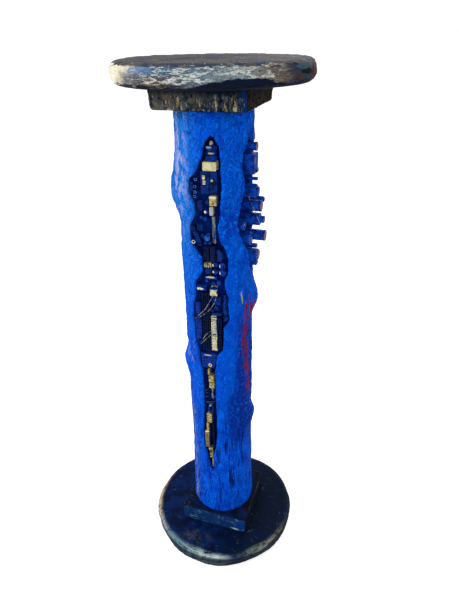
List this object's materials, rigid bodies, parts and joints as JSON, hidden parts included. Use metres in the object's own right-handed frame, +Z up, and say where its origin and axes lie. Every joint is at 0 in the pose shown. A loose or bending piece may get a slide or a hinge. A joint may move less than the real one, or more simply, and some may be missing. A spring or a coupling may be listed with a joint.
{
  "type": "column",
  "caption": "Free-standing round display column with torn fissures full of salvaged electronic parts, square plates and round slabs at both ends.",
  "frame": {"origin": "on the floor plane, under the shaft's axis, at the middle of the base disc's underside", "axes": "+Z up the shaft's axis; -Y is the front, out of which the long fissure opens; +X is to the right of somebody who faces the front, where the side fissure opens"},
  "size_m": [0.3052, 0.3055, 0.95],
  "materials": {
    "blue_plaster": "semi-gloss ultramarine paint over rough hand-laid plaster",
    "navy_plaster": "dark navy paint, dry-brushed silver and cream on the edges",
    "blue_plastic": "ultramarine paint over moulded cases, worn at the edges",
    "dark_plastic": "blue-black moulded plastic under a thin coat of paint",
    "cream_plastic": "cream plastic with blue paint left in the grooves",
    "worn_gold": "gold-coloured metal with the paint rubbed off its faces",
    "bare_wire": "bare tinned wire"
  },
  "bodies": {
    "root": {"shaft": "blue_plaster", "base_disc": "navy_plaster", "base_plinth": "navy_plaster", "capital_plate": "navy_plaster", "top_slab": "navy_plaster", "jack_plug": "blue_plastic", "upper_module": "blue_plastic", "eyelets": "blue_plastic", "moulded_blocks": "blue_plastic", "braid_strap": "blue_plastic", "small_capacitors": "blue_plastic", "large_capacitors": "blue_plastic", "rimmed_capacitor": "blue_plastic", "pin_socket": "blue_plastic", "diagonal_header": "blue_plastic", "spreader_bar": "blue_plastic", "axial_capacitor": "blue_plastic", "tall_capacitor": "blue_plastic", "flat_plates": "blue_plastic", "tab_plate": "blue_plastic", "lead_arches": "blue_plastic", "oval_ferrite": "blue_plastic", "side_top_block": "blue_plastic", "side_capacitors": "blue_plastic", "ribbed_transformer": "blue_plastic", "side_pin": "blue_plastic", "hex_cap": "blue_plastic", "domed_can": "blue_plastic", "coax_plug": "blue_plastic", "pot_core": "blue_plastic", "spot_can": "blue_plastic", "stacked_plates": "blue_plastic", "relay_left": "dark_plastic", "relay_middle": "dark_plastic", "relay_right": "dark_plastic", "slot_connectors": "dark_plastic", "dark_channel": "dark_plastic", "cream_lever": "cream_plastic", "cream_connector": "cream_plastic", "terminal_stacks": "cream_plastic", "ribbed_stack": "cream_plastic", "slanted_tabs": "cream_plastic", "crystal_can": "worn_gold", "module_chips": "worn_gold", "test_pin": "worn_gold", "gold_terminal": "worn_gold", "gold_comb": "worn_gold", "ring_nut": "worn_gold", "brass_strips": "worn_gold", "brass_blocks": "worn_gold", "brass_bar": "worn_gold", "tail_tabs": "worn_gold", "gold_lug": "worn_gold", "wire_posts": "bare_wire", "front_wires": "bare_wire", "lead_twist": "bare_wire", "side_wire": "bare_wire"}
  },
  "joints": []
}
